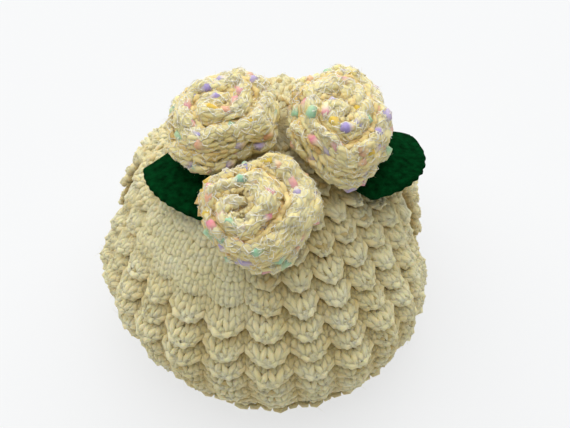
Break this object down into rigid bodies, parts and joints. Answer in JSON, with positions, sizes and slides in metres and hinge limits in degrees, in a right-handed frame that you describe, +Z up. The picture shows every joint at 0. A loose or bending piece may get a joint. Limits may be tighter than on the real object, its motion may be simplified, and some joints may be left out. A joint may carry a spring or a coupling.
{
  "type": "tea cosy",
  "caption": "Knitted tea cosy: a round, hollow, pleated dome with a spout slot and a handle slot in its side seams, rolled yarn flowers and felt leaves on its crown.",
  "frame": {"origin": "on the table, at the middle of the cosy's footprint", "axes": "+Z up; +X towards the handle slot, -X towards the spout slot; the front panel, with the lowest flower, faces -Y"},
  "size_m": [0.1688, 0.1792, 0.1516],
  "materials": {
    "cream_knit": "cream wool yarn, matt and slightly fuzzy",
    "flecked_yarn": "cream yarn with a glossy white strand and small pastel flecks",
    "green_felt": "matt dark green felt"
  },
  "bodies": {
    "root": {"front_panel": "cream_knit", "back_panel": "cream_knit", "flower_left": "flecked_yarn", "flower_right": "flecked_yarn", "flower_front": "flecked_yarn", "leaf_left": "green_felt", "leaf_right": "green_felt"}
  },
  "joints": []
}
